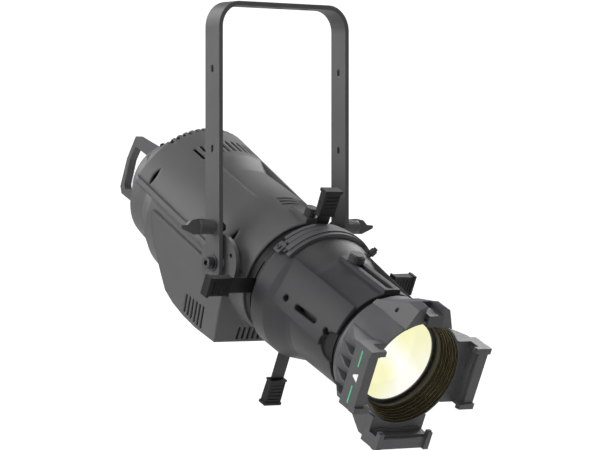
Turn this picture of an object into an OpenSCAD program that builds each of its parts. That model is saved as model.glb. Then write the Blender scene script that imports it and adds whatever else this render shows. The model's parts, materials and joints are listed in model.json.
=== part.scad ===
// Ellipsoidal spotlight hung from a flat-bar yoke.
// The origin is the centre of the hanging hole, on the top face of the yoke.
// X runs from one yoke arm to the other, Z is up and the lens looks towards -Y.

/* [Yoke] */
// Width over the outside of the two arms
yoke_w = 216; // [190:1:250]
// Width of the flat bar
bar_w = 30; // [20:1:40]
// Thickness of the flat bar
bar_t = 6; // [4:0.5:8]
// Outside radius of the two bends
bend_r = 34; // [20:1:45]
// Drop from the top of the yoke to the tilt pivot
pivot_drop = 340; // [320:1:380]
// Length of arm left below the tilt pivot
arm_tail = 17; // [14:1:24]
// Diameter of the three hanging holes
hang_d = 13; // [8:0.5:14]
// Distance between neighbouring hanging holes
hang_pitch = 45; // [35:1:60]
// Height of the tilt lock above the tilt pivot
lock_rise = 46.5; // [44:0.5:52]

/* [Head] */
// Downward tilt of the beam at rest
tilt_down = 25.5; // [0:0.5:60]
// Drop of the beam axis below the tilt pivot
axis_drop = 5; // [3:0.5:8]
// Radius of the housing at its front rim
nose_r = 82; // [80:0.5:84]
// Radius of the housing at its rear shoulder
shoulder_r = 103.5; // [98:0.5:104]
// Wall thickness of the castings
wall = 3; // [2:0.5:4]
// Number of cooling slots across the top of the housing
top_slots = 11; // [5:2:13]

/* [Optics] */
// Outside radius of the sliding lens tube
tube_r = 68; // [66:0.5:69]
// Radial running clearance of the lens tube in the barrel
tube_gap = 0.1; // [0.05:0.05:0.2]
// Radius of the front lens
lens_r = 60; // [56:0.5:61]
// Side of the square colour frame the holder accepts
frame_side = 159; // [155:1:160]
// Radius of the gate aperture
gate_r = 30; // [26:1:34]

/* [Shutters] */
// Distance from the beam axis to the tip of the left shutter grip
tip_left = 155; // [138:1:196]
// Distance from the beam axis to the tip of the right shutter grip
tip_right = 186; // [138:1:196]
// Distance from the beam axis to the tip of the top shutter grip
tip_top = 139; // [138:1:196]
// Distance from the beam axis to the tip of the bottom shutter grip
tip_bottom = 171; // [138:1:196]

/* [Hidden] */
$fn = 64;

arm_x = yoke_w / 2;
arm_in = arm_x - bar_t;
running = 0.05;

charcoal = [0.34, 0.34, 0.35];
dark_steel = [0.16, 0.16, 0.17];
black = [0.06, 0.06, 0.065];
steel = [0.62, 0.63, 0.65];
alloy = [0.75, 0.76, 0.78];
board_green = [0.10, 0.32, 0.16];
clear_glass = [0.86, 0.90, 0.88, 0.4];
warm_white = [0.98, 0.95, 0.72];
mark_green = [0.28, 0.75, 0.50];
mark_white = [0.92, 0.92, 0.90];

// ---------- places ----------

// Head frame: origin on the tilt pivot, x across, y up from the beam, z along the beam
module in_head() {
    translate([0, 0, -pivot_drop])
        rotate([90 + tilt_down, 0, 0])
            children();
}

// Beam frame: the head frame moved down onto the optical axis
module in_beam() {
    in_head()
        translate([0, -axis_drop, 0])
            children();
}

// Turns z outwards along +X inside the head frame, with x up and y along the beam
module sideways() {
    multmatrix([[0, 0, 1, 0], [1, 0, 0, 0], [0, 1, 0, 0], [0, 0, 0, 1]])
        children();
}

// Pivot frame: z runs outwards along +X from the tilt pivot
module on_pivot() {
    in_head()
        sideways()
            children();
}

// Yoke side frame: z runs outwards along +X at a given height on the arms
module on_arm(height) {
    translate([0, 0, height])
        rotate([0, 90, 0])
            children();
}

module both_sides() {
    children();
    mirror([1, 0, 0])
        children();
}

// ---------- shapes ----------

// Solid of revolution about z from a list of [radius, z] corners
module turned(corners) {
    rotate_extrude()
        polygon(corners);
}

module tube(r_out, r_in, z0, z1) {
    difference() {
        translate([0, 0, z0])
            cylinder(r = r_out, h = z1 - z0);
        translate([0, 0, z0 - 1])
            cylinder(r = r_in, h = z1 - z0 + 2);
    }
}

module rod(r, z0, z1) {
    translate([0, 0, z0])
        cylinder(r = r, h = z1 - z0);
}

module block(x0, x1, y0, y1, z0, z1) {
    translate([x0, y0, z0])
        cube([x1 - x0, y1 - y0, z1 - z0]);
}

// Obround slot cutter through z, its long side along x
module slot_cut(length, width, depth) {
    translate([0, 0, -depth / 2]) {
        translate([-(length - width) / 2, -width / 2, 0])
            cube([length - width, width, depth]);
        for (side = [-1, 1])
            translate([side * (length - width) / 2, 0, 0])
                cylinder(d = width, h = depth, $fn = 24);
    }
}

// Part of a ring about z, from one angle to another
module ring_sector(r_out, r_in, z0, z1, from, to) {
    rotate([0, 0, from])
        rotate_extrude(angle = to - from)
            translate([r_in, z0])
                square([r_out - r_in, z1 - z0]);
}

// Socket head screw along z with its head on top of z = 0
module cap_screw(shank_r, shank_l, head_r, head_h) {
    difference() {
        union() {
            rod(head_r, 0, head_h);
            rod(shank_r, -shank_l, 0.01);
        }
        translate([0, 0, head_h * 0.45])
            cylinder(r = head_r * 0.55, h = head_h, $fn = 6);
    }
}

// ---------- yoke ----------

module yoke_bend() {
    rotate([90, 0, 0])
        translate([0, 0, -bar_w / 2])
            rotate_extrude(angle = 90)
                translate([bend_r - bar_t, 0])
                    square([bar_t, bar_w]);
}

module yoke_arm() {
    tail = -pivot_drop - arm_tail;
    corner = 8;
    difference() {
        block(arm_in, arm_x, -bar_w / 2, bar_w / 2, tail, -bend_r);
        for (side = [-1, 1])
            difference() {
                translate([arm_in - 1, side * (bar_w / 2 - corner / 2) - corner / 2 - 0.5, tail - 1])
                    cube([bar_t + 2, corner + 1, corner + 1]);
                translate([arm_in - 2, side * (bar_w / 2 - corner), tail + corner])
                    rotate([0, 90, 0])
                        cylinder(r = corner, h = bar_t + 4);
            }
        on_arm(-pivot_drop)
            rod(5.1, arm_in - 1, arm_x + 1);
        on_arm(lock_rise - pivot_drop)
            rod(4.05, arm_in - 1, arm_x + 1);
        for (height = [-88.5, -192])
            translate([arm_x, 0, height])
                rotate([0, 90, 0])
                    slot_cut(10, 5, 3 * bar_t);
    }
}

module yoke_bar() {
    color(charcoal) {
        difference() {
            block(-arm_x + bend_r, arm_x - bend_r, -bar_w / 2, bar_w / 2, -bar_t, 0);
            for (spot = [-1, 0, 1])
                translate([spot * hang_pitch, 0, 0])
                    rod(hang_d / 2, -bar_t - 1, 1);
        }
        both_sides()
            union() {
                translate([arm_x - bend_r, 0, -bend_r])
                    yoke_bend();
                yoke_arm();
            }
    }
}

module pivot_screws() {
    color(black)
        both_sides()
            on_pivot()
                translate([0, 0, arm_x + 2])
                    difference() {
                        union() {
                            rod(8, 0, 9);
                            rod(5, -15.9, 0.01);
                            rod(4, -32, -15.8);
                        }
                        translate([0, 0, 4])
                            cylinder(r = 4, h = 8, $fn = 6);
                    }
}

module pivot_washers() {
    color(dark_steel)
        both_sides()
            on_pivot()
                tube(11, 5.1, arm_x + 0.05, arm_x + 1.95);
}

module pivot_bushes() {
    color(alloy)
        both_sides()
            on_pivot()
                tube(12, 5.1, arm_in - 3.95, arm_in - 0.05);
}

// ---------- tilt locks ----------

module tilt_lever() {
    difference() {
        union() {
            on_arm(lock_rise - pivot_drop)
                difference() {
                    rod(9.5, arm_x + 0.3, arm_x + 24);
                    for (turn = [0 : 20 : 359])
                        rotate([0, 0, turn])
                            translate([9.9, 0, arm_x + 3])
                                cylinder(r = 0.9, h = 18, $fn = 12);
                }
            translate([arm_x + 8, 3, lock_rise - pivot_drop])
                rotate([90, 0, 0])
                    linear_extrude(height = 6)
                        polygon([[0, -9.4], [24, -10], [33, -6.5], [43, -2.5], [44, 1.5], [33, 2.5], [27, 8.5],
                            [16, 10.5], [0, 9.4]]);
        }
        on_arm(lock_rise - pivot_drop)
            rod(4.06, arm_x - 1, arm_x + 12.02);
    }
}

module tilt_lever_left() {
    color(charcoal)
        mirror([1, 0, 0])
            tilt_lever();
}

module tilt_lever_right() {
    color(charcoal)
        tilt_lever();
}

// Stud with the clamp washer that grips the rim of the cheek plate
module tilt_stud() {
    on_arm(lock_rise - pivot_drop) {
        rod(4, cheek_x - 0.2, arm_x + 12);
        rod(6.4, cheek_x - 1.7, cheek_x - 0.1);
    }
}

module tilt_stud_left() {
    color(dark_steel)
        mirror([1, 0, 0])
            tilt_stud();
}

module tilt_stud_right() {
    color(dark_steel)
        tilt_stud();
}

// ---------- housing ----------

nose_z = 43;
shoulder_z = -209;
panel_y = -98;
panel_z = -43;

function shell_corners(inset) = [
    [0, nose_z],
    [nose_r - inset, nose_z],
    [shoulder_r - inset, shoulder_z],
    [102 - inset, -214 + inset * 0.2],
    [91 - inset, -224 + inset * 0.4],
    [79 - inset, -237 + inset * 0.5],
    [69.5 - inset, -250 + inset * 0.5],
    [62 - inset, -262 + inset * 0.6],
    [53 - inset, -276 + inset * 0.7],
    [41 - inset, -288.5 + inset * 0.8],
    [27 - inset, -298 + inset * 0.9],
    [13.5 - inset, -303.5 + inset],
    [0, -305 + inset]
];

// Scooped recess behind the brow on top of the cover: a steep rear wall and a level floor
brow_angle = 23;
brow_z = -141;

module brow_cut(inset) {
    half = brow_angle + inset * 0.6;
    floor_r = 88.5 - inset;
    rotate([0, 0, 90 - half])
        rotate_extrude(angle = 2 * half)
            polygon([[floor_r, -34 + inset * 10], [floor_r, -108 - inset], [93 - inset, -124 - inset],
                [99 - inset, brow_z - inset], [120, brow_z - inset], [120, -34 + inset * 10]]);
}

module shell_form(inset) {
    translate([0, -axis_drop, 0])
        difference() {
            turned(shell_corners(inset));
            brow_cut(inset);
        }
}

// Round part of the base: a little inside the cover, and pulled in behind the belly
function low_corners(inset) = [
    [0, nose_z],
    [81.4 - inset, nose_z],
    [98 - inset, -170],
    [90 - inset, -190],
    [83.5 - inset, -203],
    [82.5 - inset, -222],
    [80.5 - inset, -238 + inset * 0.3],
    [71 - inset, -246 + inset * 0.6],
    [68 - inset, -252 + inset * 0.5],
    [62 - inset, -264 + inset * 0.6],
    [53 - inset, -277 + inset * 0.7],
    [41 - inset, -289.3 + inset * 0.8],
    [27 - inset, -298.8 + inset * 0.9],
    [13.5 - inset, -304.2 + inset],
    [0, -305.6 + inset]
];

module low_form(inset) {
    translate([0, -axis_drop, 0])
        turned(low_corners(inset));
}

seam_h = 16.7;
seam_gap = 0.9;

// Half space above the seam between cover and base, lifted by a gap
module above_seam(gap) {
    translate([0, seam_h + gap, -114])
        rotate([6.5, 0, 0])
            translate([-300, 0, -600])
                cube([600, 300, 1200]);
}

// Half space below the seam
module below_seam() {
    translate([0, seam_h, -114])
        rotate([6.5, 0, 0])
            translate([-300, -300, -600])
                cube([600, 300, 1200]);
}

// Outside of one sloping side wall of the base
module beyond_side(inset) {
    translate([88.5 - inset, -axis_drop, 8])
        rotate([0, -4.26, -7.39])
            translate([0, -400, -500])
                cube([300, 800, 1000]);
}

base_side = [[8, 40], [8, -112.5], [-34, -112], [-62, -108], [-86, -101.5], [-105.5, -92], [-118, -76.5],
    [-130.5, -60], [-141, -44], [-154, -22], [-158, -8], [-158, 40]];
base_side_in = [[5, 40], [5, -109.5], [-34, -109], [-61.3, -105], [-84.6, -98.9], [-103.5, -89.7], [-115.6, -74.7],
    [-128, -58.3], [-138.4, -42.5], [-151.2, -21], [-155, -7.5], [-155, 40]];
band_depth = 10;

module base_form(inset) {
    difference() {
        rotate([0, -90, 0])
            linear_extrude(height = 260, center = true)
                polygon(inset > 0 ? base_side_in : base_side);
        both_sides()
            beyond_side(inset);
        difference() {
            above_seam(-20 - inset);
            shell_form(2 + inset);
        }
    }
}

// Rim of the base just under the seam, flush with the cover
module seam_band(inset) {
    intersection() {
        shell_form(inset);
        above_seam(-band_depth + inset);
    }
}

// Recess in the underside for the connector panel
module panel_pocket(grow) {
    block(-66 - grow, 66 + grow, -120, panel_y + grow, panel_z - 31 - grow, panel_z + 31 + grow);
}

cheek_r = 38;
cheek_x = 92;
boss_r = 24;

// Room in the housing for the cheek plates, their bosses and the sweep of the clamp washers
module cheek_cut() {
    both_sides()
        sideways() {
            rod(cheek_r + 0.4, cheek_x - 0.4, 120);
            rod(boss_r + 0.3, 49, 120);
            rotate([0, 0, -90])
                rotate_extrude(angle = 125)
                    translate([35, cheek_x - 2])
                        square([23.5, 30]);
        }
}

// Slots along the beam across the top of the cover
module top_vents() {
    pitch = 5.7;
    for (spot = [-(top_slots - 1) / 2 : (top_slots - 1) / 2])
        rotate([0, 0, 90 + spot * pitch])
            translate([97, 0, -160.5])
                rotate([0, 90, 0])
                    slot_cut(26.5, 4.2, 30);
}

// Short notches round the rear shoulder
module shoulder_vents() {
    pitch = 5.5;
    for (spot = [-6.5 : 6.5])
        rotate([0, 0, 90 + spot * pitch])
            translate([106, 0, -217])
                rotate([0, 118, 0])
                    slot_cut(19, 5.6, 25);
}

// Two crescent air openings on each side of the shell, just above the seam
module side_gills() {
    half_length = 13.5;
    half_width = 3.3;
    r = (half_length * half_length + half_width * half_width) / (2 * half_width);
    both_sides()
        for (z = [-184.5, -9.5])
            rotate([0, 0, 25])
                translate([72, 0, z])
                    rotate([0, 90, 0])
                        intersection() {
                            translate([r - half_width, 0, 0])
                                cylinder(r = r, h = 40);
                            translate([half_width - r, 0, 0])
                                cylinder(r = r, h = 40);
                        }
}

// Three finger grooves across the front of the cover
module cover_grooves() {
    for (z = [-22, -15, -8])
        ring_sector(130, 83.8 - z * 0.085, z - 1.2, z + 1.2, 90 - 9.5, 90 + 9.5);
}

module top_cover() {
    color(charcoal)
        in_head()
            difference() {
                union() {
                    shell_form(0);
                    translate([0, -axis_drop, 0])
                        block(-10, 10, 60, 89, 6, nose_z - 0.5);
                }
                shell_form(wall);
                translate([0, -axis_drop, 0]) {
                    block(-200, 200, -200, 200, nose_z - 0.01, 100);
                    rod(nose_r - wall - 0.4, 30, 50);
                    block(-7, 7, 40, 84, 10, 26);
                    translate([0, 60, 34])
                        rotate([-90, 0, 0])
                            rod(3.08, 0, 40);
                    top_vents();
                    shoulder_vents();
                    side_gills();
                    cover_grooves();
                }
                below_seam();
                cheek_cut();
                cover_screw_places() {
                    rod(2.2, -20, 30);
                    rod(4, -0.8, 30);
                }
            }
}

// Sunk screws that hold the cover: [height along the beam, angle above the side, radius of the surface]
cover_screw_spots = [[-70, 20, 91.3], [-262, 60, 62]];

module cover_screw_places() {
    for (spot = cover_screw_spots, side = [0, 1])
        mirror([side, 0, 0])
            translate([0, -axis_drop, spot[0]])
                rotate([0, 90, spot[1]])
                    translate([0, 0, spot[2]])
                        children();
}

module cover_screws() {
    color(black)
        in_head()
            cover_screw_places()
                translate([0, 0, -0.75])
                    cap_screw(2.1, 8, 3.6, 2.2);
}

// Cooling slots low in both side walls of the base
module side_vents() {
    for (row = [0 : 5])
        translate([0, -89 - row * 0.6, -60 + row * 7.3])
            rotate([0, 90, 0])
                rotate([0, 0, 90])
                    slot_cut(27 + row * 1.2, 3.6, 240);
}

// Cooling slots in the front wall of the base
module front_vents() {
    for (row = [-4.5 : 4.5])
        translate([row * 8.5, -100, 4])
            rotate([0, 0, 90])
                slot_cut(18, 4, 20);
}

module base_housing() {
    color(charcoal)
        in_head()
            difference() {
                union() {
                    low_form(0);
                    base_form(0);
                    seam_band(0);
                }
                low_form(wall);
                difference() {
                    base_form(wall);
                    panel_pocket(wall);
                }
                seam_band(wall);
                panel_pocket(0);
                above_seam(-seam_gap);
                translate([0, -axis_drop, 0])
                    rod(nose_r - wall - 0.4, 30, 50);
                cheek_cut();
                side_vents();
                front_vents();
                on_panel()
                    block(-62, 62, -26, 26, -12, 12);
            }
}

// Round cheeks that carry the pivot screws
module pivot_cheeks() {
    color(charcoal)
        both_sides()
            on_pivot()
                difference() {
                    union() {
                        rod(cheek_r, cheek_x, arm_in - 4);
                        rod(boss_r, 49.1, cheek_x + 0.01);
                    }
                    rod(5.05, arm_in - 8, arm_in);
                    rod(4.05, 60, arm_in);
                    for (turn = [45 : 90 : 359])
                        rotate([0, 0, turn])
                            translate([28, 0, arm_in - 8])
                                cylinder(r = 3, h = 10, $fn = 24);
                }
}

// Bent steel chassis between the cheeks
module chassis() {
    color(steel)
        in_beam() {
            both_sides()
                block(46, 49, -58, 30, -58, 30);
            block(-46, 46, -58, -55, -58, 30);
        }
}

module handle_outline() {
    polygon([[-275, 26], [-313, 24], [-357, 20], [-363, -16], [-361, -58], [-354, -66], [-240, -66],
        [-240, -57], [-349, -57], [-353, -52], [-356, -16], [-351.5, 7], [-275, 7]]);
}

module rear_handle() {
    color(charcoal)
        in_head()
            difference() {
                rotate([0, -90, 0])
                    linear_extrude(height = 12, center = true)
                        handle_outline();
                shell_form(-0.1);
                low_form(-0.1);
            }
}

// ---------- light engine ----------

module heat_sink() {
    fins = 24;
    color(alloy)
        in_beam() {
            rod(26, -186, -70);
            rod(52, -70.01, -66);
            for (turn = [0 : fins - 1])
                rotate([0, 0, (turn + 0.5) * 360 / fins])
                    block(25, 54, -1, 1, -186, -70);
        }
}

// Metal-core board with its soldered emitters
module led_board() {
    pitch = 11;
    color(alloy)
        in_beam()
            rod(44, -65.95, -63);
    color(warm_white)
        in_beam()
            for (row = [-3 : 3], col = [-3 : 3])
                if (row * row + col * col < 12)
                    block(row * pitch - 3, row * pitch + 3, col * pitch - 3, col * pitch + 3, -63.01, -61);
}

module collimator() {
    color(black)
        in_beam()
            difference() {
                turned([[0, -60], [46, -60], [42, 0], [40, 24], [0, 24]]);
                turned([[0, -61], [44, -61], [40, 0], [38.2, 14], [38.2, 25], [0, 25]]);
            }
}

module condenser_lens() {
    color(clear_glass)
        in_beam()
            intersection() {
                rod(38, 14.2, 30);
                translate([0, 0, -38])
                    sphere(r = 64);
                rod(60, 14.2, 30);
            }
}

module fan_frame() {
    color(black)
        in_beam()
            difference() {
                block(-52, 52, -52, 52, -222, -197);
                rod(49, -230, -190);
                for (x = [-46, 46], y = [-46, 46])
                    translate([x, y, 0])
                        rod(2.2, -230, -190);
            }
    color(black)
        in_beam() {
            rod(19, -222, -218);
            for (turn = [45 : 90 : 359])
                rotate([0, 0, turn])
                    block(18, 49.5, -2.5, 2.5, -222, -218.5);
        }
}

module fan_rotor() {
    blades = 7;
    color(dark_steel)
        in_beam() {
            rod(18, -217.5, -199);
            intersection() {
                rod(47.5, -217, -198);
                for (turn = [0 : blades - 1])
                    rotate([0, 0, turn * 360 / blades])
                        translate([33, 0, -208])
                            rotate([34, 0, 0])
                                cube([34, 24, 1.6], center = true);
            }
        }
}

module power_supply() {
    color(steel)
        in_head()
            difference() {
                block(-58, 58, -90, -62, -98, -78);
                for (row = [-5 : 5])
                    block(row * 9.6 - 1.5, row * 9.6 + 1.5, -65, -58, -95, -81);
            }
}

module driver_board() {
    color(board_green)
        in_head() {
            block(-58, 58, -79, -77.4, -58, -2);
            for (x = [-38, -12, 18])
                block(x - 6, x + 6, -84, -78.99, -40, -14);
        }
}

// ---------- connector panel ----------

// Panel frame: origin on the floor of the underside recess, x across, y along the beam, z downwards
module on_panel() {
    translate([0, panel_y, panel_z])
        rotate([90, 0, 0])
            children();
}

port_x = 51;
port_y = 13.2;
button_x = [-16.5, -5.5, 5.5, 16.5];

module connector_panel() {
    color(dark_steel)
        in_head()
            on_panel()
                difference() {
                    block(-65.5, 65.5, -30, 30, 0.1, 2.1);
                    for (x = [-port_x, port_x], y = [-port_y, port_y])
                        translate([x, y, 0])
                            rod(11.1, -1, 4);
                    block(-20, 20, -17, -3, -1, 4);
                    for (x = button_x)
                        translate([x, 9, 0])
                            rod(3.55, -1, 4);
                    panel_screw_places()
                        rod(1.6, -5, 4);
                }
}

module panel_screw_places() {
    for (x = [-32, 32], y = [-27.5, 27.5])
        translate([x, y, 2.12])
            children();
}

module panel_screws() {
    color(steel)
        in_head()
            on_panel()
                panel_screw_places()
                    difference() {
                        union() {
                            rod(2.4, 0, 1.4);
                            rod(1.5, -2, 0.01);
                        }
                        block(-2, 2, -0.3, 0.3, 0.8, 2);
                    }
}

module control_board() {
    color(board_green)
        in_head()
            on_panel() {
                block(-22, 22, -20, 18, -8, -6.4);
                block(-17, 17, -16, -4, -6.41, -3);
            }
}

module display_window() {
    color([0.10, 0.16, 0.30])
        in_head()
            on_panel()
                block(-19.9, 19.9, -16.9, -3.1, -0.9, 2.0);
}

module menu_button(index) {
    color(black)
        in_head()
            on_panel()
                translate([button_x[index], 9, 0]) {
                    rod(3.5, -0.5, 4.2);
                    rod(4.6, -2, -0.49);
                    rod(1.5, -4.5, -1.99);
                }
}

module menu_button_1() { menu_button(0); }
module menu_button_2() { menu_button(1); }
module menu_button_3() { menu_button(2); }
module menu_button_4() { menu_button(3); }

// Round panel socket with a square flange
module socket_body(pins, pin_ring) {
    difference() {
        union() {
            block(-12.4, 12.4, -12.8, 12.8, 2.15, 4.4);
            rod(11, -12, 7);
        }
        rod(9, -2, 8);
        for (x = [-10, 10], y = [-10.4, 10.4])
            translate([x, y, 0])
                rod(1.4, 1, 8);
    }
    for (pin = [0 : pins - 1])
        rotate([0, 0, pin * 360 / pins])
            translate([pin_ring, 0, 0])
                rod(1, -2.01, 4);
}

module power_inlet() {
    color([0.10, 0.20, 0.45])
        in_head()
            on_panel()
                translate([-port_x, -port_y, 0])
                    socket_body(3, 5);
}

module power_outlet() {
    color([0.72, 0.72, 0.74])
        in_head()
            on_panel()
                translate([-port_x, port_y, 0])
                    socket_body(3, 5);
}

module data_sockets() {
    color(steel)
        in_head()
            on_panel()
                for (y = [-port_y, port_y])
                    translate([port_x, y, 0])
                        socket_body(5, 4.5);
}

// ---------- gate ----------

gate_back = nose_z + 0.6;
gate_front = 67;
blade_half = 33;
tab_half = 10.5;
blade_len = 52;
inner_to_tip = 165;
grip_len = 37;

module front_plate() {
    color(dark_steel)
        in_beam()
            difference() {
                rod(nose_r - wall - 0.6, 36, 42);
                rod(46, 30, 50);
                for (turn = [30 : 60 : 359])
                    rotate([0, 0, turn])
                        translate([62, 0, 0])
                            rod(5, 30, 50);
            }
}

module gate_housing() {
    wall_r = 72;
    rim_r = 79;
    color(black)
        in_beam()
            difference() {
                union() {
                    tube(rim_r, 36, gate_back, 47);
                    tube(rim_r, wall_r, 46.99, gate_front);
                    tube(46 - running, 36, 35.8, gate_back + 0.01);
                }
                block(-90, -60, -blade_half - 0.8, blade_half + 0.8, 55.4, 57.6);
                block(60, 90, -blade_half - 0.8, blade_half + 0.8, 57.9, 60.1);
                block(-blade_half - 0.8, blade_half + 0.8, 60, 90, 60.4, 62.6);
                block(-blade_half - 0.8, blade_half + 0.8, -90, -60, 62.9, 65.1);
            }
}

module gate_retainer() {
    color(steel)
        in_beam()
            tube(52, 36, 33, 35.8);
}

module aperture_plate() {
    color(dark_steel)
        in_beam()
            tube(71.9, gate_r, 48, 50);
}

module shutter_spacers() {
    color(steel)
        in_beam()
            for (z = [57.5, 60, 62.5])
                tube(71.9, 42, z, z + 0.5);
}

// One shutter blade, pointing out along x from the beam axis
module blade(tip, z) {
    edge = tip - inner_to_tip;
    translate([0, 0, z]) {
        block(edge, edge + blade_len, -blade_half, blade_half, 0, 1);
        block(edge + blade_len - 0.01, tip - 6, -tab_half, tab_half, 0, 1);
    }
}

// Two-part moulded grip clamped over the end of a blade, with a bead round its outer end
module grip(tip, z) {
    half_w = 12.6;
    depth = 5.5;
    translate([tip - grip_len, 0, z + 0.5])
        difference() {
            union() {
                rotate([90, 0, 0])
                    translate([0, 0, -half_w])
                        linear_extrude(height = 2 * half_w)
                            polygon([[0, -3], [2, -4.6], [26, -5.5], [grip_len, -5.5], [grip_len, 5.5], [26, 5.5],
                                [2, 4.6], [0, 3]]);
                block(grip_len - 4, grip_len, -half_w - 1.2, half_w + 1.2, -6.8, 6.8);
                block(0.5, 3, -half_w - 0.8, half_w + 0.8, -5.6, 5.6);
            }
            block(-1, grip_len - 5.9, -tab_half - 0.1, tab_half + 0.1, -0.6, 0.6);
            for (x = [8 : 5 : 28], side = [-1, 1])
                translate([x, 0, side * (depth + 0.2)])
                    cube([1.8, 19, 2.6], center = true);
        }
}

module shutter_left() { color(dark_steel) in_beam() rotate([0, 0, 180]) blade(tip_left, 56); }
module shutter_right() { color(dark_steel) in_beam() blade(tip_right, 58.5); }
module shutter_top() { color(dark_steel) in_beam() rotate([0, 0, 90]) blade(tip_top, 61); }
module shutter_bottom() { color(dark_steel) in_beam() rotate([0, 0, -90]) blade(tip_bottom, 63.5); }

module shutter_grips_left() { color(black) in_beam() rotate([0, 0, 180]) grip(tip_left, 56); }
module shutter_grips_right() { color(black) in_beam() grip(tip_right, 58.5); }
module shutter_grips_top() { color(black) in_beam() rotate([0, 0, 90]) grip(tip_top, 61); }
module shutter_grips_bottom() { color(black) in_beam() rotate([0, 0, -90]) grip(tip_bottom, 63.5); }

// Knurled knob on top of the nose that locks the barrel rotation
module rotation_knob() {
    color(black)
        in_beam()
            translate([0, 0, 34])
                rotate([-90, 0, 0])
                    difference() {
                        union() {
                            rod(8, 90, 101);
                            rod(5, 89.2, 90.01);
                            rod(3, 80.5, 89.21);
                        }
                        for (turn = [0 : 24 : 359])
                            rotate([0, 0, turn])
                                translate([8.4, 0, 91])
                                    cylinder(r = 0.9, h = 12, $fn = 12);
                    }
}

// ---------- barrel ----------

barrel_z0 = 67.2;
barrel_z1 = 228;
slot_z0 = 140;
slot_z1 = 222;
knob_z = 145.5;

module barrel_bore() {
    turned([[0, barrel_z0 - 1], [72, barrel_z0 - 1], [72, 70], [81, 73], [81, 88], [tube_r + tube_gap, 118],
        [tube_r + tube_gap, barrel_z1 + 1], [0, barrel_z1 + 1]]);
}

panel_from = -25;
panel_to = 45.5;
panel_mid = 17.5;
panel_r = 73;

// Side panel on the +X side: it leaves the rear flange flush and dips towards the front,
// between two soft creases, the lower one running down towards the front
module barrel_panel() {
    curve_r = 105;
    rear_z = 96;
    rear_rise = 11;
    intersection() {
        ring_sector(90, 60, rear_z, barrel_z1 - 1, panel_from, panel_to);
        rotate([0, 0, panel_mid])
            translate([panel_r - curve_r, 0, rear_z - 0.5])
                cylinder(r1 = curve_r + rear_rise, r2 = curve_r, h = barrel_z1 - rear_z);
        translate([0, 3, 95])
            rotate([6.3, 0, 0])
                translate([0, 0, -30])
                    cube([120, 120, 200]);
    }
}

module barrel() {
    color(charcoal)
        in_beam()
            difference() {
                union() {
                    turned([[0, barrel_z0], [85.5, barrel_z0], [87, 69], [87, 97], [84.6, 104], [78.8, 120],
                        [74.4, 131], [72.5, 139], [72.3, barrel_z1], [0, barrel_z1]]);
                    block(-13, 13, 50, 76.5, 128, 227);
                    both_sides()
                        barrel_panel();
                }
                barrel_bore();
                block(-4.5, 4.5, 50, 100, slot_z0 + 4.5, slot_z1 - 4.5);
                for (z = [slot_z0 + 4.5, slot_z1 - 4.5])
                    translate([0, 60, z])
                        rotate([-90, 0, 0])
                            rod(4.5, -10, 40);
                both_sides() {
                    side_hole(11.6, 126)
                        rod(4.6, 0, 40);
                    side_hole(10.6, 167.4)
                        slot_cut(43, 8, 60);
                    side_hole(8.8, 209.2)
                        rod(4.4, 0, 40);
                    intersection() {
                        ring_sector(85, 69.6, 195, barrel_z1 + 5, -35, 30);
                        rotate([0, 0, -3])
                            translate([50, 0, barrel_z1 - 3])
                                rotate([0, 90, 0])
                                    rod(19.5, 0, 40);
                    }
                }
                barrel_lock_place()
                    rod(3.08, -30, 30);
                collar_screw_places()
                    rod(1.7, -14, 20);
            }
}

// Outward through the side panel, at an angle above the beam axis
module side_hole(angle, z) {
    rotate([0, 0, angle])
        translate([60, 0, z])
            rotate([0, 90, 0])
                children();
}

module barrel_lock_place() {
    rotate([0, 0, 50])
        translate([83.5, 0, 106])
            rotate([0, 90, 0])
                children();
}

module collar_screw_places() {
    for (side = [0, 1])
        mirror([side, 0, 0])
            rotate([0, 0, 90 - 47.5])
                translate([92.5, 0, 72])
                    rotate([0, 90, 0])
                        children();
}

// One step of the collar, reaching half_angle degrees each side of the top
module collar_step(r, z0, z1, half_angle) {
    ring_sector(r, r - 8, z0, z1, 90 - half_angle, 90 + half_angle);
}

// Stepped collar over the top of the rear flange, with a screw lug at each end
module clamp_collar() {
    inner_r = 87.2;
    color(charcoal)
        in_beam()
            difference() {
                union() {
                    collar_step(91.5, 63, 68.5, 38);
                    collar_step(89.5, 67.6, 73, 43);
                    collar_step(93, 72, 80, 40);
                    collar_step(90, 79, 83, 48);
                    collar_step(94, 82, 90.4, 45);
                    collar_step(92.4, 89.6, 96.5, 48.5);
                    for (side = [0, 1])
                        mirror([side, 0, 0])
                            ring_sector(92.5, 84, 66.5, 78.6, 90 - 51.5, 90 - 42);
                }
                rod(inner_r, 60, 100);
                collar_screw_places()
                    rod(1.8, -14, 20);
            }
}

module collar_screws() {
    color(black)
        in_beam()
            collar_screw_places()
                translate([0, 0, 0.1])
                    cap_screw(1.6, 8, 3.2, 2.4);
}

module barrel_lock_screw() {
    color(black)
        in_beam()
            barrel_lock_place() {
                rod(3, -5, 4.01);
                rod(4.8, 4, 12);
                rod(3.2, 12 - 0.01, 15);
            }
}

// ---------- lens tube and front holder ----------

module lens_tube() {
    color(black)
        in_beam()
            difference() {
                rod(tube_r, 112, 250);
                rod(64, 111, 251);
                translate([0, 0, knob_z])
                    rotate([-90, 0, 0])
                        rod(3, 50, 80);
            }
}

// Edge corners of a lens face: radius and height of a sphere of radius r above its edge plane
function dome_corners(r, edge, z, steps) = [
    for (step = [0 : steps])
        let (x = edge * (steps - step) / steps)
            [x, z + sqrt(r * r - x * x) - sqrt(r * r - edge * edge)]
];

module rear_lens() {
    color(clear_glass)
        in_beam()
            turned(concat([[0, 122.2], [63.9, 122.2]], dome_corners(150, 63.9, 124.4, 9)));
}

module front_lens() {
    color(clear_glass)
        in_beam()
            turned(concat([[0, 263], [lens_r, 263]], dome_corners(190, lens_r, 266, 9)));
}

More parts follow.
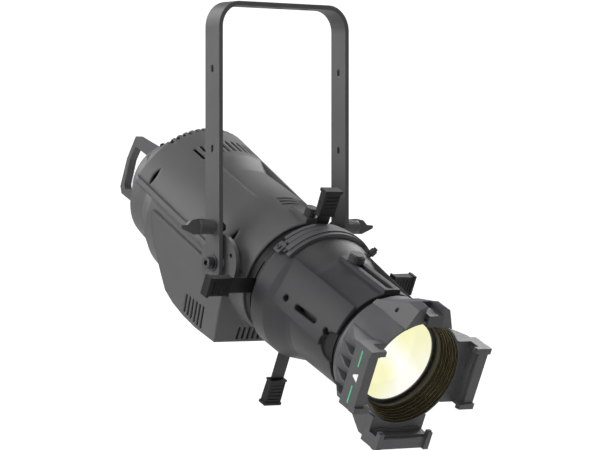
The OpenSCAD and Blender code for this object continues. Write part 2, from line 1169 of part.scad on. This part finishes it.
// Spring rings that hold the two lenses
module lens_rings() {
    color(steel)
        in_beam() {
            tube(63.9, 60.5, 119.5, 122);
            difference() {
                tube(lens_r + 0.05, 56, 268.4, 271);
                rod(58.6, 268, 268.9);
            }
        }
}

module focus_knob() {
    color(black)
        in_beam()
            translate([0, 0, knob_z])
                rotate([-90, 0, 0])
                    difference() {
                        union() {
                            rod(10.5, 77, 86.5);
                            rod(9, 86.49, 87.5);
                            rod(3.9, 68.2, 77.01);
                            rod(2.95, 63, 68.21);
                        }
                        for (turn = [0 : 20 : 359])
                            rotate([0, 0, turn])
                                translate([10.9, 0, 78])
                                    cylinder(r = 0.9, h = 10, $fn = 12);
                    }
}

slot_half = frame_side / 2 + 0.8;
rail_out = 97;
lip_in = 73;
lip_mid = 82.5;
rail_half = 43;
rail_z0 = 296;
rail_z1 = 326;
slot_rear = 307;
slot_front = 322;

// One side channel of the colour frame holder, on the +X side
module holder_rail() {
    difference() {
        union() {
            block(60, rail_out, -rail_half, rail_half, rail_z0, rail_z1);
            for (side = [-1, 1])
                translate([0, side * (rail_half - 4), 0])
                    block(slot_half - 6, rail_out + 1, -4, 4, rail_z1 - 8, rail_z1 + 3);
        }
        block(40, slot_half, -60, 60, slot_rear, slot_front);
        block(40, lip_in, -60, 60, slot_front - 1, rail_z1 + 5);
        block(40, lip_mid, -rail_half + 7, rail_half - 7, slot_front - 1, rail_z1 + 5);
        block(slot_half + 3.2, rail_out - 3, -rail_half + 3, rail_half - 3, rail_z0 - 1, rail_z0 + 22);
    }
    translate([0, 0, slot_rear - 0.5])
        linear_extrude(height = 2.5)
            polygon([[81, -38], [81, 38], [77.5, 38], [76, 30], [75.2, 22], [76.4, 13], [78.4, 5], [78.4, -5],
                [76.4, -13], [75.2, -22], [76, -30], [77.5, -38]]);
}

// Flared support between the tube and one channel, with open pockets between its fins
module holder_support() {
    intersection() {
        rotate([90, 0, 0])
            linear_extrude(height = 80, center = true)
                polygon([[55, 238], [70.5, 240], [92.5, 284], [93.3, 305.4], [55, 305.4]]);
        turned([[0, 236], [72, 236], [72.5, 240], [104, 290], [120, 300], [120, 340], [0, 340]]);
    }
}

module holder_pockets() {
    pitch = 18;
    for (row = [-1.5, -0.5, 0.5, 1.5])
        block(75.5, 110, row * pitch - 7.3, row * pitch + 7.3, 244, 302);
}

// Bore of the front end: seats for the tube and lens, then grooved anti-glare rings
module holder_bore() {
    rings = 6;
    ring_z = 280;
    pitch = (slot_rear - ring_z) / rings;
    turned(concat(
        [[0, 235], [tube_r + 0.06, 235], [tube_r + 0.06, 250.1], [56, 250.1], [56, 262.8], [lens_r + 0.1, 262.8],
            [lens_r + 0.1, ring_z]],
        [for (row = [0 : rings - 1], edge = [0 : 2])
            [lens_r + 1.6 + row * 1.3 + [0, 2.4, 2.4][edge], ring_z + (row + [0.3, 0.3, 0.85][edge]) * pitch]],
        [[69.5, slot_rear + 0.01], [0, slot_rear + 0.01]]
    ));
}

latch_y = 81;
latch_z = 296;

// Raised pad on top that carries the two latch ears
module holder_ears() {
    intersection() {
        linear_extrude(height = 311)
            both_sides()
                polygon([[0, 60], [0, 96.4], [11, 96.4], [25, 90], [37.5, 64], [34, 60]]);
        rotate([90, 0, 90])
            linear_extrude(height = 100, center = true)
                polygon([[66, 238], [71, 240], [87, 280], [96.5, 298], [96.5, 311], [60, 311], [60, 238]]);
    }
}

module accessory_holder() {
    color(charcoal)
        in_beam()
            difference() {
                union() {
                    turned([[0, 236], [72, 236], [74.5, 239], [75, 262], [74, 285], [72, slot_rear], [0, slot_rear]]);
                    for (turn = [0, 180, 270])
                        rotate([0, 0, turn]) {
                            holder_rail();
                            difference() {
                                holder_support();
                                holder_pockets();
                            }
                        }
                    holder_ears();
                }
                holder_bore();
                rod(72.6, slot_rear, rail_z1 + 10);
                block(-13.2, 13.2, 75.6, 110, 286, 320);
                translate([-24.1, latch_y, latch_z])
                    rotate([0, 90, 0])
                        rod(2.06, 0, 48.2);
                both_sides()
                    rotate([0, 0, 67])
                        translate([70, 0, 279])
                            rotate([0, 90, 0])
                                rod(2.6, 0, 20);
            }
}

// Two coloured stripes and a small fan-shaped beam mark on each side channel
module holder_marks() {
    mark_x = rail_out + 0.02;
    for (side = [0, 1])
        in_beam()
            mirror([side, 0, 0]) {
                color(mark_green)
                    for (y = [[14, 36], [-36, -12]])
                        block(mark_x, mark_x + 0.25, y[0], y[1], 310, 312.2);
                color(mark_white)
                    translate([mark_x + 0.25, 0.5, 311.5])
                        rotate([0, -90, 0])
                            linear_extrude(height = 0.25)
                                polygon([[-4.5, -1.2], [4.5, -5.5], [4.5, 5.5], [-4.5, 1.2]]);
            }
}

module frame_latch() {
    half = 12.3;
    color(dark_steel)
        in_beam()
            difference() {
                union() {
                    translate([-half, latch_y, latch_z])
                        rotate([0, 90, 0])
                            cylinder(r = 4.6, h = 2 * half);
                    block(-half, half, 79, 85.6, latch_z, 318.5);
                    block(-half, half, 70.5, 85.6, 315.5, 318.5);
                }
                translate([-20, latch_y, latch_z])
                    rotate([0, 90, 0])
                        rod(2.06, 0, 40);
                for (x = [-7, -2.4, 2.2, 6.8])
                    block(x, x + 0.8, 85, 90, 300, 313);
            }
}

module latch_pin() {
    color(steel)
        in_beam()
            translate([-24, latch_y, latch_z])
                rotate([0, 90, 0])
                    rod(2, 0, 48);
}

// ---------- what is drawn ----------

yoke_bar();
pivot_screws();
pivot_washers();
pivot_bushes();
tilt_lever_left();
tilt_lever_right();
tilt_stud_left();
tilt_stud_right();
top_cover();
base_housing();
cover_screws();
pivot_cheeks();
chassis();
rear_handle();
heat_sink();
led_board();
collimator();
condenser_lens();
fan_frame();
fan_rotor();
power_supply();
driver_board();
connector_panel();
panel_screws();
control_board();
display_window();
menu_button_1();
menu_button_2();
menu_button_3();
menu_button_4();
power_inlet();
power_outlet();
data_sockets();
front_plate();
gate_housing();
gate_retainer();
aperture_plate();
shutter_spacers();
shutter_left();
shutter_right();
shutter_top();
shutter_bottom();
shutter_grips_left();
shutter_grips_right();
shutter_grips_top();
shutter_grips_bottom();
rotation_knob();
barrel();
clamp_collar();
collar_screws();
barrel_lock_screw();
lens_tube();
rear_lens();
front_lens();
lens_rings();
focus_knob();
accessory_holder();
holder_marks();
frame_latch();
latch_pin();
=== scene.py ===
"""Looks for the ellipsoidal spotlight: finishes, light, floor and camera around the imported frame."""

import json
import math

import bpy
from mathutils import Matrix, Vector


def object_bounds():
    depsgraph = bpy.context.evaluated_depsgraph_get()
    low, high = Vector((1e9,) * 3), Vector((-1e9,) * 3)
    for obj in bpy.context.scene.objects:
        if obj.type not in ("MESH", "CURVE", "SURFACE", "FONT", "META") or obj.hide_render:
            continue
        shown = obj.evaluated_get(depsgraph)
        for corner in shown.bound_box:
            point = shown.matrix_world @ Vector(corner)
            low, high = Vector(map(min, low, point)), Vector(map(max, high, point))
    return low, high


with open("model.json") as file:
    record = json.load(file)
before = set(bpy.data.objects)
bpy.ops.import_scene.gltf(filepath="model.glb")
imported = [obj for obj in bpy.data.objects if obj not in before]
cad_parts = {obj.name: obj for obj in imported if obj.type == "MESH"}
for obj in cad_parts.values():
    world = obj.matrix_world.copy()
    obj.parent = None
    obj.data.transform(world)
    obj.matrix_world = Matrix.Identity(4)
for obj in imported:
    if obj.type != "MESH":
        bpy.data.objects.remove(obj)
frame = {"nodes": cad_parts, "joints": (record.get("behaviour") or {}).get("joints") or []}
cad_low, cad_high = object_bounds()
NODES = frame["nodes"]

# Metres in the beam frame: z along the beam from the place of the barrel rotation, y up, x across.
LENS_REACH = 0.28
MARK_HALF = 0.008
RINGS_RADIUS = 0.0705
RINGS_FRONT = 0.3068
# Barrel faces nearer the beam axis than this, the floor of the scoop, are painted darker as shade.
SCOOP_PAINTED_SHADE_RADIUS = 0.0705

# Edges sharper than this many degrees stay sharp when a node is shaded smooth.
SHARP_DEGREES = 28.0

# ---------- places taken from the record ----------

JOINTS = {joint["name"]: joint for joint in frame["joints"]}
BEAM = Vector(JOINTS["focus_slide"]["axis"]).normalized()
ACROSS = Vector((1, 0, 0))
UP = ACROSS.cross(BEAM).normalized()
if UP.z < 0:
    UP = -UP
AXIS_POINT = Vector(JOINTS["barrel_rotation"]["pos_m"])
BEAM_FRAME = Matrix.Translation(AXIS_POINT) @ Matrix((ACROSS, UP, BEAM)).transposed().to_4x4()


# ---------- material helpers ----------

class Finish:
    """A material being built: short calls that add one node each."""

    def __init__(self, name):
        self.material = bpy.data.materials.new(name)
        self.material.use_nodes = True
        self.tree = self.material.node_tree
        self.tree.nodes.clear()
        self.out = self.tree.nodes.new("ShaderNodeOutputMaterial")
        self.coords = self.tree.nodes.new("ShaderNodeTexCoord").outputs["Object"]

    def add(self, kind, inputs=None, **settings):
        node = self.tree.nodes.new(kind)
        for key, value in settings.items():
            setattr(node, key, value)
        for key, value in (inputs or {}).items():
            self.feed(node.inputs[key], value)
        return node

    def feed(self, socket, value):
        if isinstance(value, bpy.types.NodeSocket):
            self.tree.links.new(value, socket)
        else:
            socket.default_value = value

    def noise(self, scale, detail=4.0, roughness=0.55, stretch=None):
        where = self.coords
        if stretch:
            where = self.add("ShaderNodeMapping", {"Vector": where, "Scale": stretch}).outputs["Vector"]
        node = self.add(
            "ShaderNodeTexNoise",
            {"Vector": where, "Scale": scale, "Detail": detail, "Roughness": roughness},
        )
        return node.outputs[0]

    def ramp(self, value, low, high, to_low=0.0, to_high=1.0):
        node = self.add(
            "ShaderNodeMapRange",
            {"Value": value, "From Min": low, "From Max": high, "To Min": to_low, "To Max": to_high},
        )
        return node.outputs[0]

    def mix(self, factor, first, second):
        node = self.add("ShaderNodeMix", {}, data_type="RGBA")
        self.feed(node.inputs[0], factor)
        self.feed(node.inputs[6], first)
        self.feed(node.inputs[7], second)
        return node.outputs[2]

    def math(self, operation, first, second=0.0):
        node = self.add("ShaderNodeMath", {}, operation=operation)
        self.feed(node.inputs[0], first)
        self.feed(node.inputs[1], second)
        return node.outputs[0]

    def edges(self, radius):
        """1 on sharp edges and 0 on flats, from the difference a rounded normal makes."""
        rounded = self.add("ShaderNodeBevel", {"Radius": radius}, samples=4).outputs[0]
        plain = self.add("ShaderNodeNewGeometry").outputs["Normal"]
        dot = self.add("ShaderNodeVectorMath", {}, operation="DOT_PRODUCT")
        self.feed(dot.inputs[0], rounded)
        self.feed(dot.inputs[1], plain)
        return self.ramp(dot.outputs["Value"], 0.98, 0.72)

    def bump(self, height, strength, distance, soften=0.0008):
        """Surface grain on top of edges rounded off by the given radius."""
        rounded = self.add("ShaderNodeBevel", {"Radius": soften}, samples=6).outputs[0]
        node = self.add(
            "ShaderNodeBump",
            {"Height": height, "Strength": strength, "Distance": distance, "Normal": rounded},
        )
        return node.outputs["Normal"]

    def close(self, **inputs):
        names = {key.replace("_", " "): value for key, value in inputs.items()}
        shader = self.add("ShaderNodeBsdfPrincipled", names)
        self.tree.links.new(shader.outputs[0], self.out.inputs["Surface"])
        return self.material


def rgba(r, g, b):
    return (r, g, b, 1.0)


def scaled(colour, amount):
    return tuple(min(1.0, channel * amount) for channel in colour[:3]) + (1.0,)


def powder_coat(name, colour, roughness=0.46, depth=0.00012, wear=0.3, soften=0.001, sheen=0.42):
    """Satin powder coat: fine orange peel, faint clouding and paler rubbed edges."""
    f = Finish(name)
    peel = f.noise(900.0, detail=2.0)
    speck = f.noise(3600.0, detail=1.0)
    cloud = f.noise(9.0, detail=3.0)
    base = f.mix(f.ramp(cloud, 0.35, 0.7), scaled(colour, 0.94), scaled(colour, 1.07))
    base = f.mix(f.ramp(speck, 0.6, 0.75, 0.0, 0.25), base, scaled(colour, 1.6))
    worn = f.math("MULTIPLY", f.edges(0.0009), f.ramp(f.noise(60.0), 0.4, 0.65, 0.25, wear))
    base = f.mix(worn, base, scaled(colour, 2.1))
    rough = f.ramp(cloud, 0.3, 0.7, roughness - 0.04, roughness + 0.05)
    return f.close(
        Base_Color=base, Roughness=rough, Specular_IOR_Level=sheen,
        Normal=f.bump(peel, 0.3, depth, soften),
    )


def moulded(name, colour, roughness=0.5, grain=1500.0, depth=0.00008, sheen=0.4):
    """Moulded plastic with a fine spark-eroded texture and slightly polished edges."""
    f = Finish(name)
    fine = f.noise(grain, detail=3.0, roughness=0.7)
    cloud = f.noise(25.0)
    base = f.mix(f.ramp(cloud, 0.35, 0.7), scaled(colour, 0.85), scaled(colour, 1.2))
    base = f.mix(f.math("MULTIPLY", f.edges(0.0008), 0.45), base, scaled(colour, 3.2))
    rough = f.ramp(fine, 0.3, 0.7, roughness - 0.06, roughness + 0.08)
    return f.close(
        Base_Color=base, Roughness=rough, Specular_IOR_Level=sheen, Normal=f.bump(fine, 0.3, depth)
    )


def bare_metal(name, colour, roughness=0.3, stretch=(1.0, 1.0, 14.0), scale=160.0, metallic=1.0):
    """Machined or brushed metal: fine lines one way, with stains."""
    f = Finish(name)
    lines = f.noise(scale, detail=5.0, stretch=stretch)
    cloud = f.noise(30.0)
    base = f.mix(f.ramp(lines, 0.3, 0.7), scaled(colour, 0.82), scaled(colour, 1.08))
    base = f.mix(f.ramp(cloud, 0.5, 0.8, 0.0, 0.35), base, scaled(colour, 0.6))
    rough = f.ramp(lines, 0.3, 0.7, roughness - 0.07, roughness + 0.1)
    return f.close(
        Base_Color=base, Roughness=rough, Metallic=metallic, Normal=f.bump(lines, 0.25, 0.00005)
    )


def circuit_board(name, colour):
    """Solder mask with faint copper tracks showing through."""
    f = Finish(name)
    tracks = f.add(
        "ShaderNodeTexBrick", {"Vector": f.coords, "Scale": 260.0, "Mortar Size": 0.012}
    ).outputs["Color"]
    grey = f.add("ShaderNodeRGBToBW", {"Color": tracks}).outputs[0]
    base = f.mix(f.ramp(grey, 0.2, 0.8), scaled(colour, 0.7), scaled(colour, 1.5))
    return f.close(
        Base_Color=base, Roughness=f.ramp(f.noise(70.0), 0.3, 0.7, 0.28, 0.42),
        Normal=f.bump(grey, 0.2, 0.0001),
    )


def clear_glass(name):
    """Polished glass with a faint dusty film."""
    f = Finish(name)
    film = f.noise(40.0, detail=6.0)
    return f.close(
        Base_Color=rgba(0.97, 0.98, 0.94), Roughness=f.ramp(film, 0.45, 0.8, 0.0, 0.06),
        Transmission_Weight=1.0, IOR=1.5,
    )


def painted_mark(name, colour):
    """Screen-printed ink, slightly uneven."""
    f = Finish(name)
    patch = f.noise(700.0, detail=3.0)
    base = f.mix(f.ramp(patch, 0.35, 0.6), scaled(colour, 0.75), scaled(colour, 1.1))
    return f.close(Base_Color=base, Roughness=0.5, Normal=f.bump(patch, 0.2, 0.00005))


def glowing_lens(name):
    """Front lens with the lamp alight behind it: pale yellow, with one broad soft white streak."""
    f = Finish(name)
    centre = AXIS_POINT + BEAM * LENS_REACH
    away = f.add("ShaderNodeVectorMath", {}, operation="SUBTRACT")
    f.feed(away.inputs[0], f.coords)
    f.feed(away.inputs[1], tuple(centre))

    def reach(direction):
        dot = f.add("ShaderNodeVectorMath", {}, operation="DOT_PRODUCT")
        f.feed(dot.inputs[0], away.outputs[0])
        f.feed(dot.inputs[1], tuple(direction.normalized()))
        return dot.outputs["Value"]

    beside = f.math("ABSOLUTE", reach(ACROSS + UP))
    streak = f.ramp(beside, 0.022, 0.001, 0.0, 0.9)
    low_side = f.ramp(reach(ACROSS - UP), 0.005, 0.060, 0.0, 0.6)
    ripple = f.ramp(f.noise(16.0, detail=1.0), 0.4, 0.65, 0.0, 0.3)
    white = f.math("ADD", f.math("ADD", streak, low_side), ripple)
    glow = f.mix(f.math("MINIMUM", white, 1.0), rgba(0.90, 0.89, 0.50), rgba(1.0, 1.0, 0.93))
    return f.close(
        Base_Color=rgba(0.05, 0.05, 0.04), Roughness=0.06, Emission_Color=glow, Emission_Strength=0.98
    )


def ring_black_painted_highlight(name):
    """Gloss black anti-glare rings, with a painted bronze highlight on their edges standing in for the
    light of the lens catching them.
    """
    f = Finish(name)
    grain = f.noise(500.0)
    base = f.mix(f.ramp(grain, 0.3, 0.7), rgba(0.022, 0.019, 0.010), rgba(0.040, 0.033, 0.015))
    # Painted highlight: bronze on the sharp edges, where the light of the lens would catch them.
    base = f.mix(f.edges(0.0006), base, rgba(0.55, 0.44, 0.20))
    return f.close(
        Base_Color=base, Roughness=0.34, Metallic=0.5, Specular_IOR_Level=0.6,
        Normal=f.bump(grain, 0.2, 0.00005, 0.0004),
    )


HOUSING = powder_coat("housing_coat", (0.066, 0.066, 0.068))
SHELL = powder_coat("shell_coat", (0.082, 0.082, 0.084), roughness=0.5, soften=0.006, sheen=0.32)
BARREL = powder_coat("barrel_coat", (0.036, 0.036, 0.038), roughness=0.46, soften=0.004, sheen=0.2)
# Painted shade: a darker, duller coat standing in for the shadow in the barrel's scoop.
SCOOP_PAINTED_SHADE = powder_coat("scoop_painted_shade", (0.026, 0.026, 0.027), roughness=0.6, sheen=0.08)
HOLDER = powder_coat("holder_coat", (0.062, 0.062, 0.065), roughness=0.44)
BLADE = powder_coat("blade_black", (0.010, 0.010, 0.011), roughness=0.38)
FRONT_GLOW = glowing_lens("lens_glow")
RINGS = ring_black_painted_highlight("ring_black_painted_highlight")
GRIP = moulded("grip_black", (0.006, 0.006, 0.0065), roughness=0.46, sheen=0.25)
KNOB = moulded("knob_black", (0.035, 0.035, 0.037), roughness=0.42)
DARK_METAL = bare_metal("dark_metal", (0.10, 0.10, 0.105), roughness=0.38, metallic=0.9)
STEEL = bare_metal("steel", (0.55, 0.55, 0.56))
ALLOY = bare_metal("alloy", (0.70, 0.71, 0.73), roughness=0.34, stretch=(1.0, 12.0, 1.0))
BOARD = circuit_board("board_green", (0.02, 0.10, 0.04))
GLASS = clear_glass("lens_glass")
SCREEN = moulded("screen_blue", (0.02, 0.05, 0.14), roughness=0.12, sheen=0.6)
SOCKET_BLUE = moulded("socket_blue", (0.02, 0.06, 0.30))
SOCKET_GREY = moulded("socket_grey", (0.45, 0.45, 0.46))
INK_GREEN = painted_mark("ink_green", (0.06, 0.50, 0.24))
INK_WHITE = painted_mark("ink_white", (0.85, 0.85, 0.84))

FINISHES = {
    HOUSING: ["yoke_bar", "pivot_cheeks", "rear_handle", "tilt_lever_left", "tilt_lever_right"],
    SHELL: ["top_cover", "base_housing"],
    BARREL: ["barrel"],
    HOLDER: ["accessory_holder", "clamp_collar"],
    GRIP: ["shutter_grips_left", "shutter_grips_right", "shutter_grips_top", "shutter_grips_bottom",
           "collimator", "fan_frame", "gate_housing", "lens_tube"],
    KNOB: ["rotation_knob", "focus_knob", "barrel_lock_screw", "fan_rotor", "frame_latch",
           "menu_button_1", "menu_button_2", "menu_button_3", "menu_button_4"],
    DARK_METAL: ["pivot_screws", "pivot_washers", "cover_screws", "collar_screws", "gate_retainer",
                 "connector_panel", "lens_rings", "front_plate", "tilt_stud_left", "tilt_stud_right"],
    BLADE: ["shutter_left", "shutter_right", "shutter_top", "shutter_bottom"],
    FRONT_GLOW: ["front_lens"],
    STEEL: ["chassis", "power_supply", "panel_screws",
            "aperture_plate", "shutter_spacers", "latch_pin"],
    ALLOY: ["pivot_bushes", "heat_sink", "led_board"],
    BOARD: ["driver_board", "control_board"],
    GLASS: ["condenser_lens", "rear_lens"],
    SCREEN: ["display_window"],
    SOCKET_BLUE: ["power_inlet"],
    SOCKET_GREY: ["power_outlet", "data_sockets"],
    INK_GREEN: ["holder_marks"],
}

for finish, names in FINISHES.items():
    for name in names:
        mesh = NODES[name].data
        mesh.materials.clear()
        mesh.materials.append(finish)
        for face in mesh.polygons:
            face.use_smooth = True
        mesh.set_sharp_from_angle(angle=math.radians(SHARP_DEGREES))


def second_material(name, finish, chosen):
    """Gives one more material to the faces whose centre, in the beam frame, passes the test: print, the
    ring black, or painted shade.
    """
    node = NODES[name]
    to_beam = BEAM_FRAME.inverted() @ node.matrix_world
    node.data.materials.append(finish)
    for face in node.data.polygons:
        if chosen(to_beam @ face.center):
            face.material_index = 1


second_material("holder_marks", INK_WHITE, lambda at: abs(at.y) < MARK_HALF)
# Painted shade: the floor of the scoop on the barrel gets the darker coat.
second_material("barrel", SCOOP_PAINTED_SHADE, lambda at: math.hypot(at.x, at.y) < SCOOP_PAINTED_SHADE_RADIUS)
second_material(
    "accessory_holder", RINGS, lambda at: math.hypot(at.x, at.y) < RINGS_RADIUS and at.z < RINGS_FRONT
)

# ---------- floor, light and camera ----------


FLOOR_GAP = 0.35
FLOOR_HALF = 9.0
SWEEP_START = 5.0
SWEEP_RADIUS = 3.0
SWEEP_STEPS = 12
WALL_TOP = 9.0


def make_floor():
    """Pale sweep: a flat floor that curves up into a wall behind the lamp."""
    floor_z = cad_low.z - FLOOR_GAP
    mesh = bpy.data.meshes.new("floor")
    rows = [(-FLOOR_HALF, floor_z), (SWEEP_START, floor_z)]
    for step in range(1, SWEEP_STEPS + 1):
        turn = math.radians(90.0 * step / SWEEP_STEPS)
        along = SWEEP_START + SWEEP_RADIUS * math.sin(turn)
        rows.append((along, floor_z + SWEEP_RADIUS * (1.0 - math.cos(turn))))
    rows.append((SWEEP_START + SWEEP_RADIUS, floor_z + WALL_TOP))
    points = []
    for along, height in rows:
        for side in (-FLOOR_HALF, FLOOR_HALF):
            points.append((side, along, height))
    faces = []
    for row in range(len(rows) - 1):
        first = 2 * row
        faces.append((first, first + 1, first + 3, first + 2))
    mesh.from_pydata(points, [], faces)
    for face in mesh.polygons:
        face.use_smooth = True
    floor = bpy.data.objects.new("floor", mesh)
    bpy.context.scene.collection.objects.link(floor)
    floor.rotation_euler = (0.0, 0.0, -CAMERA_TURN)
    f = Finish("floor_paper")
    grain = f.noise(300.0)
    shade = f.mix(f.ramp(grain, 0.3, 0.7), rgba(0.70, 0.70, 0.70), rgba(0.74, 0.74, 0.74))
    seen = f.add("ShaderNodeLightPath").outputs["Is Camera Ray"]
    mesh.materials.append(f.close(
        Base_Color=shade, Roughness=0.9, Emission_Color=rgba(1.0, 1.0, 1.0),
        Emission_Strength=f.ramp(seen, 0.0, 1.0, 0.0, 0.9)))


def area_light(name, place, target, size, power, colour=(1.0, 1.0, 1.0)):
    light = bpy.data.lights.new(name, "AREA")
    light.shape = "RECTANGLE"
    light.size, light.size_y = size
    light.energy = power
    light.color = colour
    lamp = bpy.data.objects.new(name, light)
    bpy.context.scene.collection.objects.link(lamp)
    lamp.location = place
    aim = Vector(target) - Vector(place)
    lamp.rotation_euler = aim.to_track_quat("-Z", "Y").to_euler()
    return lamp


CAMERA_TURN = math.radians(38.4)
CAMERA_DISTANCE = 4.4
CAMERA_DROP = 0.289
CAMERA_SIDE = 0.0355
LENS_MM = 197.35
LENS_RISE = -0.0028

toward = Vector((-math.sin(CAMERA_TURN), -math.cos(CAMERA_TURN), 0.0))
right = Vector((math.cos(CAMERA_TURN), -math.sin(CAMERA_TURN), 0.0))
camera_data = bpy.data.cameras.new("camera")
camera_data.lens = LENS_MM
camera_data.sensor_width = 36.0
camera_data.shift_y = LENS_RISE
camera_data.clip_end = 60.0
camera = bpy.data.objects.new("camera", camera_data)
bpy.context.scene.collection.objects.link(camera)
camera.location = toward * CAMERA_DISTANCE + right * CAMERA_SIDE + Vector((0.0, 0.0, -CAMERA_DROP))
camera.rotation_euler = (-toward).to_track_quat("-Z", "Y").to_euler()
bpy.context.scene.camera = camera

centre = (cad_low + cad_high) / 2.0


def around(side, front, height):
    """A place near the lamp, in metres to the camera's right, towards the camera and up."""
    return centre + right * side + toward * front + Vector((0.0, 0.0, height))


make_floor()
area_light("left_soft", around(-2.7, 0.7, 1.0), centre, (1.8, 2.2), 66.0)
area_light("left_back", around(-1.9, -1.7, 1.4), centre, (1.2, 1.6), 32.0)
area_light("right_rim", around(1.5, -1.7, 1.7), centre, (1.0, 2.0), 70.0)
area_light("top_front", around(0.1, 1.0, 2.7), centre, (1.6, 1.2), 34.0)
area_light("front_fill", around(-0.3, 3.0, 0.9), centre, (2.4, 2.0), 16.0)
area_light("low_left", around(-1.7, 1.3, -1.0), centre, (1.4, 1.2), 9.0)

world = bpy.data.worlds.new("studio")
bpy.context.scene.world = world
world.use_nodes = True
background = world.node_tree.nodes["Background"]
background.inputs["Color"].default_value = rgba(1.0, 1.0, 1.0)
background.inputs["Strength"].default_value = 0.22

scene = bpy.context.scene
scene.view_settings.view_transform = "Standard"
scene.view_settings.look = "None"
